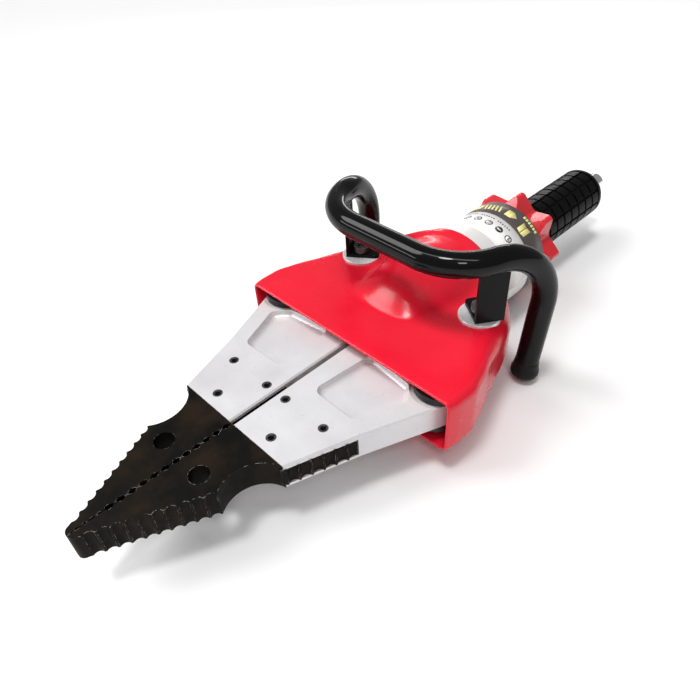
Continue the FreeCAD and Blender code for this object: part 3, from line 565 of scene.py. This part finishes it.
def finely_cut(points, step):
    """The same closed line with no stretch longer than a step."""
    result = [points[0]]
    for a, b in zip(points, points[1:]):
        pieces = max(1, math.ceil(math.dist(a, b) / step))
        for k in range(1, pieces + 1):
            share = k / pieces
            result.append((a[0] + share * (b[0] - a[0]), a[1] + share * (b[1] - a[1])))
    return result


def raised(point, dome_wide, dome_high):
    """A point of the outline, lifted on to the dome where that is higher."""
    x, z = point
    reach = min(1.0, abs(x) / dome_wide)
    dome = dome_high * math.sqrt(1 - reach ** 2)
    height = (abs(z) ** DOME_BLEND + dome ** DOME_BLEND) ** (1 / DOME_BLEND)
    return (x, math.copysign(height, z))


def sample_shares():
    """Places round the outline, as shares of its length."""
    quarter = [0.0]
    for end, count in QUARTER_STEPS:
        start = quarter[-1]
        quarter += [start + (end - start) * (k + 1) / count for k in range(count)]
    half = quarter + [0.5 - share for share in reversed(quarter[:-1])]
    return half[:-1] + [1 - share for share in reversed(half[1:])]


def resampled(line, shares):
    """Points on a line at the given shares of its length."""
    lengths = [0.0]
    for a, b in zip(line, line[1:]):
        lengths.append(lengths[-1] + math.dist(a, b))
    points = []
    place = 0
    for part in shares:
        target = lengths[-1] * part
        while lengths[place + 1] < target or lengths[place + 1] == lengths[place]:
            place += 1
        share = (target - lengths[place]) / (lengths[place + 1] - lengths[place])
        a = line[place]
        b = line[place + 1]
        points.append((a[0] + share * (b[0] - a[0]), a[1] + share * (b[1] - a[1])))
    return points


def cover_ring(y, inset):
    """Closed outline of the cover at one place along the axis."""
    stations = [row[0] for row in COVER_SECTIONS]
    held = min(max(y, stations[0]), stations[-1])
    wide, up, down, radius, dome_wide, dome_high = [
        monotone_value(stations, [row[i] for row in COVER_SECTIONS], held) for i in range(1, 7)]
    base = corner_box(wide - inset, up - inset, down - inset, radius - inset)
    outline = [raised(point, dome_wide - inset, max(0.0, dome_high - inset))
               for point in finely_cut(base, OUTLINE_STEP)]
    return [at(x, y, z) for x, z in resampled(outline, sample_shares())]


def make_cover():
    """Cover as one shell: outside, curled rear lip, inside and rounded front lip."""
    front = COVER_SECTIONS[0][0]
    rear = COVER_SECTIONS[-1][0]
    lip = COVER_WALL / 2
    steps = [front + lip + (rear - lip - front) * i / COVER_RINGS for i in range(COVER_RINGS + 1)]
    rings = [cover_ring(y, 0.0) for y in steps]
    for i in range(1, LIP_STEPS):
        angle = math.pi * i / LIP_STEPS
        inset = NECK_CURL / 2 * (1 - math.cos(angle))
        rings.append(cover_ring(rear + NECK_CURL / 2 * math.sin(angle) * 0.5, inset))
    rings += [cover_ring(y, COVER_WALL) for y in reversed(steps[::2])]
    for i in range(1, LIP_STEPS):
        angle = math.pi * i / LIP_STEPS
        rings.append(cover_ring(front + lip - lip * math.sin(angle), lip * (1 + math.cos(angle))))
    size_of_ring = len(rings[0])
    verts = [v for ring in rings for v in ring]
    faces = ring_faces(len(rings), size_of_ring, True)
    piece = new_piece("cover_shell", verts, faces, MATERIALS["cover_red"], "tool")
    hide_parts("cover")


make_cover()


# ---------------------------------------------------------------------------
# Carrying handle and its end plugs
# ---------------------------------------------------------------------------
def handle_path():
    """Right half of the handle's centre line, from the middle to its end."""
    points = []
    for i in range(STRAIGHT_STEPS + 1):
        points.append(Vector((BAR_HALF_STRAIGHT * i / STRAIGHT_STEPS, BAR_Y, BAR_Z)))
    for i in range(1, BEND_STEPS + 1):
        angle = BAR_BEND_ANGLE * i / BEND_STEPS
        points.append(Vector((BAR_HALF_STRAIGHT + BAR_BEND_RADIUS * math.sin(angle),
                              BAR_Y + BAR_BEND_RADIUS * (1 - math.cos(angle)), BAR_Z)))
    heading = Vector((math.cos(BAR_BEND_ANGLE), math.sin(BAR_BEND_ANGLE), 0))
    centre = points[-1] - Vector((0, 0, LEG_BEND_RADIUS))
    drop = math.pi / 2 + LEG_LEAN
    for i in range(1, DROP_STEPS + 1):
        angle = drop * i / DROP_STEPS
        spoke = heading * math.sin(angle) + Vector((0, 0, math.cos(angle)))
        points.append(centre + LEG_BEND_RADIUS * spoke)
    down = heading * math.cos(drop) - Vector((0, 0, math.sin(drop)))
    length = (LEG_END_Z - points[-1].z) / down.z
    start = points[-1]
    for i in range(1, LEG_STEPS + 1):
        points.append(start + down * (length * i / LEG_STEPS))
    return points, down


def swept_rings(points, radii, segments):
    """Round rings along a line, turned as little as possible on the way."""
    rings = []
    normal = Vector((0, 1, 0))
    for i, here in enumerate(points):
        before = points[max(0, i - 1)]
        after = points[min(len(points) - 1, i + 1)]
        tangent = (after - before).normalized()
        normal = (normal - tangent * normal.dot(tangent)).normalized()
        side = tangent.cross(normal)
        ring = []
        for k in range(segments):
            angle = 2 * math.pi * k / segments
            spot = here + (normal * math.cos(angle) + side * math.sin(angle)) * radii[i]
            ring.append(at(spot.x, spot.y, spot.z))
        rings.append(ring)
    return rings


def capped(rings):
    """Vertices and faces of a closed tube with flat ends."""
    size_of_ring = len(rings[0])
    verts = [v for ring in rings for v in ring]
    faces = ring_faces(len(rings), size_of_ring, False)
    faces.append(tuple(reversed(range(size_of_ring))))
    faces.append(tuple(range(len(verts) - size_of_ring, len(verts))))
    return verts, faces


def make_handle(half):
    """The bent bar from one leg's end to the other's."""
    other = [Vector((-p.x, p.y, p.z)) for p in reversed(half[1:])]
    points = other + half
    verts, faces = capped(swept_rings(points, [TUBE_R] * len(points), BAR_SIDES))
    piece = new_piece("handle_bar", verts, faces, MATERIALS["handle_black"], "tool")
    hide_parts("handle_tube")


def make_plugs(end, down):
    """Both rubber plugs, flared where they meet the legs."""
    verts = []
    faces = []
    for side in (1, -1):
        spots = []
        for along, _ in PLUG_PROFILE:
            spot = end + down * along
            spots.append(Vector((spot.x * side, spot.y, spot.z)))
        spots[-1] = spots[-1] + Vector((down.x * side, down.y, down.z)) * PLUG_END_GAP
        rings = swept_rings(spots, [TUBE_R + over for _, over in PLUG_PROFILE], PLUG_SIDES)
        more_verts, more_faces = capped(rings)
        faces += [tuple(index + len(verts) for index in face) for face in more_faces]
        verts += more_verts
    plugs = new_piece("leg_plugs", verts, faces, MATERIALS["plug_rubber"], "tool")
    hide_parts("end_plugs")


half_path, leg_down = handle_path()
make_handle(half_path)
make_plugs(half_path[-1], leg_down)


# ---------------------------------------------------------------------------
# Printed marks on the cylinder: no lettering, only plain shapes
# ---------------------------------------------------------------------------
def wrapped(around, along, lift):
    """A point on the cylinder: degrees round it from the top, and along it."""
    angle = math.radians(around)
    radius = SLEEVE_RADIUS + lift
    return at(radius * math.sin(angle), along, radius * math.cos(angle))


def make_mark(name, outlines, material, lift):
    """Thin closed plates bent round the cylinder, one for each outline."""
    verts = []
    faces = []
    for outline in outlines:
        sheet = bmesh.new()
        sheet.faces.new([sheet.verts.new((around, along, 0)) for around, along in outline])
        low = min(around for around, _ in outline)
        high = max(around for around, _ in outline)
        cuts = int((high - low) / MARK_CUT_DEGREES)
        for i in range(1, cuts + 1):
            spot = low + (high - low) * i / (cuts + 1)
            geometry = sheet.verts[:] + sheet.edges[:] + sheet.faces[:]
            bmesh.ops.bisect_plane(sheet, geom=geometry, plane_co=(spot, 0, 0), plane_no=(1, 0, 0))
        extruded = bmesh.ops.extrude_face_region(sheet, geom=sheet.faces[:])
        top = {item for item in extruded["geom"] if isinstance(item, bmesh.types.BMVert)}
        sheet.verts.index_update()
        start = len(verts)
        for vert in sheet.verts:
            verts.append(wrapped(vert.co.x, vert.co.y, lift if vert in top else MARK_ROOT))
        for face in sheet.faces:
            faces.append(tuple(start + vert.index for vert in face.verts))
        sheet.free()
    new_piece(name, verts, faces, material, "tool")


def disc(around, along, radius, points=28):
    """Outline of a round mark of the given radius in millimetres."""
    degree = math.degrees(1 / SLEEVE_RADIUS)
    result = []
    for i in range(points):
        angle = 2 * math.pi * i / points
        result.append((around + radius * math.cos(angle) * degree, along + radius * math.sin(angle)))
    return result


def bar(around, along, wide, high):
    """Outline of a straight mark: degrees wide, millimetres high."""
    return [(around - wide / 2, along - high / 2), (around + wide / 2, along - high / 2),
            (around + wide / 2, along + high / 2), (around - wide / 2, along + high / 2)]


def make_band():
    """The dark band: a closed thin sleeve round the whole cylinder."""
    shoulder = BAND_LIFT - BAND_ROUND
    profile = [
        (BAND_FRONT, BAND_ROOT),
        (BAND_FRONT, shoulder),
        (BAND_FRONT + BAND_ROUND, BAND_LIFT),
        (BAND_REAR - BAND_ROUND, BAND_LIFT),
        (BAND_REAR, shoulder),
        (BAND_REAR, BAND_ROOT),
    ]
    rings = []
    for along, height in profile:
        rings.append([wrapped(360 * k / BAND_SIDES, along, height) for k in range(BAND_SIDES)])
    verts = [v for ring in rings for v in ring]
    faces = ring_faces(len(rings), BAND_SIDES, True)
    new_piece("dark_band", verts, faces, BAND_GREY, "tool")


def make_white_label():
    """Plain white field in front of the band."""
    left, right = LABEL_SIDES
    field = [(left, LABEL_FRONT), (right, LABEL_FRONT), (right, BAND_FRONT), (left, BAND_FRONT)]
    make_mark("white_label", [field], LABEL_WHITE, LABEL_LIFT)


def slanted(start, width, lean):
    """Outline of a stripe across the arrow's height, leaning round the sleeve."""
    front = ARROW_Y - ARROW_HALF
    rear = ARROW_Y + ARROW_HALF
    return [(start, front), (start + width, front), (start + width + lean, rear), (start + lean, rear)]


def make_arrow():
    """Yellow arrow: a slanted block, five stripes and a head."""
    front = ARROW_Y - ARROW_HALF
    rear = ARROW_Y + ARROW_HALF
    outlines = [slanted(-43, 16, 3)]
    for i in range(STRIPES):
        outlines.append(slanted(STRIPE_START + STRIPE_PITCH * i, STRIPE_WIDTH, -ARROW_LEAN))
    outlines.append([(8, front), (16, front), (23, ARROW_Y), (16, rear), (8, rear)])
    make_mark("yellow_arrow", outlines, MARK_YELLOW, YELLOW_LIFT)


def make_block():
    """Yellow pair of blocks and the row of ticks beside them."""
    outlines = [
        [(32, 386), (38, 384), (38, 398), (32, 400)],
        [(38.8, 384), (45, 386), (45, 400), (38.8, 398)],
    ]
    for i in range(TICKS):
        outlines.append(bar(TICK_START + TICK_PITCH * i, TICK_Y, 3.0, 4.0))
    make_mark("yellow_block", outlines, MARK_YELLOW, YELLOW_LIFT)


def make_round_marks():
    """Row of ringed marks with a plain sign in each, one of them filled."""
    spots = [ROUND_MARK_START + ROUND_MARK_PITCH * i for i in range(ROUND_MARKS)]
    y = ROUND_MARK_Y
    rims = [disc(spot, y, ROUND_MARK_RADIUS) for spot in spots]
    make_mark("round_marks", rims, MARK_DARK, MARK_LIFT)
    open_spots = spots[:FILLED_MARK] + spots[FILLED_MARK + 1:]
    middles = [disc(spot, y, ROUND_MARK_INNER) for spot in open_spots]
    make_mark("round_mark_middles", middles, LABEL_WHITE, MIDDLE_LIFT)
    cross, dot, lines, filled, hook = spots
    signs = [
        bar(cross, y, 3.4, 1.3),
        bar(cross, y, 1.2, 4.2),
        disc(dot, y, 1.8),
        bar(lines, y - 1.5, 4.2, 1.2),
        bar(lines, y + 1.5, 4.2, 1.2),
        bar(hook, y + 0.5, 1.4, 4.6),
        bar(hook + 0.9, y - 1.4, 3.0, 1.2),
    ]
    make_mark("round_mark_signs", signs, MARK_DARK, SIGN_LIFT)
    make_mark("filled_mark_bar", [bar(filled, y, 5.6, 1.5)], LABEL_WHITE, SIGN_LIFT)


def make_dashes():
    """Row of short dashes with a gap after each group."""
    dashes = []
    for i in range(DASHES):
        if i % DASH_GROUP != DASH_GROUP - 1:
            dashes.append(bar(DASH_START + DASH_PITCH * i, DASH_Y, 1.7, 1.8))
    make_mark("dash_row", dashes, MARK_DARK, MARK_LIFT)


make_band()
make_white_label()
make_arrow()
make_block()
make_round_marks()
make_dashes()


# ---------------------------------------------------------------------------
# The CAD's own nodes: materials and softened edges
# ---------------------------------------------------------------------------
EDGE_WIDTHS = {
    "bosses": 0.9,
    "boss_bolts": 0.7,
    "star_ring": 0.9,
    "upper_cheeks": 0.6,
    "lower_cheeks": 0.6,
    "crosshead": 0.8,
    "end_cap": 0.5,
    "coupler_body": 0.4,
    "pivot_pins": 0.6,
    "rubber_grip": 0.35,
}
for side in ("right", "left"):
    EDGE_WIDTHS[side + "_arm"] = 1.1
    EDGE_WIDTHS[side + "_tip"] = 0.5
    EDGE_WIDTHS[side + "_tip_pins"] = 0.25
    EDGE_WIDTHS[side + "_bracket"] = 0.9
    EDGE_WIDTHS[side + "_link_plates"] = 0.6


def soften_edges(node, width):
    """Joined, flattened and bevelled mesh with clean shading."""
    weld = node.modifiers.new("weld", "WELD")
    weld.merge_threshold = WELD_REACH * MM
    flatten = node.modifiers.new("flatten", "DECIMATE")
    flatten.decimate_type = "DISSOLVE"
    flatten.angle_limit = math.radians(FLAT_ANGLE)
    edges = node.modifiers.new("edges", "BEVEL")
    edges.width = width * MM
    edges.segments = BEVEL_SEGMENTS
    edges.limit_method = "ANGLE"
    edges.angle_limit = math.radians(SHARP_ANGLE)
    edges.use_clamp_overlap = True
    normals = node.modifiers.new("normals", "WEIGHTED_NORMAL")
    normals.keep_sharp = True


for row in frame["record"]["subparts"]:
    node = frame["nodes"][row["node"]]
    node.data.materials.clear()
    node.data.materials.append(MATERIALS[row["material_slot"]])
    if row["node"] in EDGE_WIDTHS:
        soften_edges(node, EDGE_WIDTHS[row["node"]])


# ---------------------------------------------------------------------------
# Floor and light
# ---------------------------------------------------------------------------
def make_stage():
    """Pale floor just under the tool, in even white surroundings."""
    floor_height = cad_box[0][2] - FLOOR_DROP * MM
    bpy.ops.mesh.primitive_plane_add(size=FLOOR_SIZE, location=(0, 0, floor_height))
    floor = bpy.context.object
    floor.name = "floor"
    white = (FLOOR_WHITE, FLOOR_WHITE, FLOOR_WHITE)
    floor.data.materials.append(new_material("floor_pale", white, 0.7, specular=0.2))
    world = bpy.data.worlds.new("studio")
    bpy.context.scene.world = world
    world.use_nodes = True
    background = world.node_tree.nodes["Background"]
    background.inputs["Color"].default_value = grey(1.0)
    background.inputs["Strength"].default_value = WORLD_STRENGTH


def sun_light(name, direction, angle, strength):
    """Distant light from a direction, its disc as wide as the given degrees."""
    data = bpy.data.lights.new(name, "SUN")
    data.angle = math.radians(angle)
    data.energy = strength
    light = bpy.data.objects.new(name, data)
    light.rotation_euler = Vector(direction).to_track_quat("Z", "Y").to_euler()
    bpy.context.scene.collection.objects.link(light)


def area_light(name, place, target, size, power, size_y=None):
    """Square or strip light aimed at a target, in metres, unseen by the camera."""
    data = bpy.data.lights.new(name, "AREA")
    data.energy = power
    data.size = size
    if size_y:
        data.shape = "RECTANGLE"
        data.size_y = size_y
    light = bpy.data.objects.new(name, data)
    light.location = place
    aim = Vector(target) - Vector(place)
    light.rotation_euler = aim.to_track_quat("-Z", "Y").to_euler()
    light.visible_camera = False
    bpy.context.scene.collection.objects.link(light)


make_stage()
sun_light("key", (-0.58, -0.37, 0.72), 30, 1.6)
sun_light("top", (-0.03, -0.22, 0.97), 12, 1.15)
area_light("overhead_strip", (0.05, -0.25, 1.60), STRIP_TARGET, 1.6, 6, 0.18)
area_light("rear_strip", (-0.95, 1.15, 0.46), STRIP_TARGET, 0.9, 3, 0.12)
area_light("front_strip", (-0.92, -1.20, 0.60), STRIP_TARGET, 0.9, 3, 0.12)
area_light("right_spot", (0.80, -0.70, 1.35), (0, 0, 0.1), 0.25, 3)
bpy.context.scene.view_settings.view_transform = "Standard"
